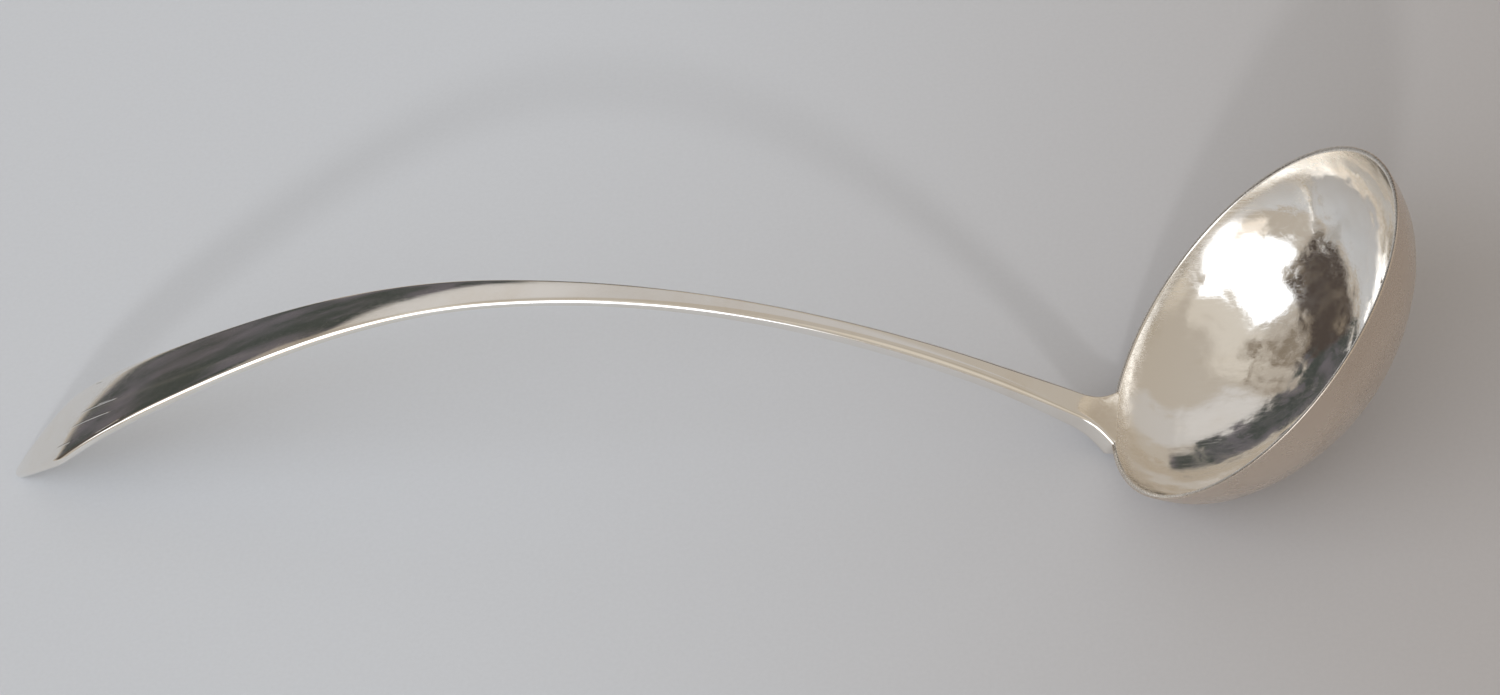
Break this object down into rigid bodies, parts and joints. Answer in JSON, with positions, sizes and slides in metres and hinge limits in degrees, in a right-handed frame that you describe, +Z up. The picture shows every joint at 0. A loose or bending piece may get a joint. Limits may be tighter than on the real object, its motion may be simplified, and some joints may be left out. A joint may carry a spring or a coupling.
{
  "type": "ladle",
  "caption": "Serving ladle with a round raised bowl and a long arched stem that widens to a flat pointed end.",
  "frame": {"origin": "centre of the bounding box in X and Y, on the plane the ladle stands on", "axes": "+Z up, +X from the stem's tip towards the bowl, +Y across the ladle; the two halves mirror in the plane y = 0"},
  "size_m": [0.3433, 0.094, 0.0669],
  "materials": {
    "bowl_metal": "old polished silver, softly planished inside, warm tarnish",
    "handle_metal": "old polished silver, fine scratches, worn edges"
  },
  "bodies": {
    "root": {"bowl": "bowl_metal", "handle": "handle_metal"}
  },
  "joints": []
}
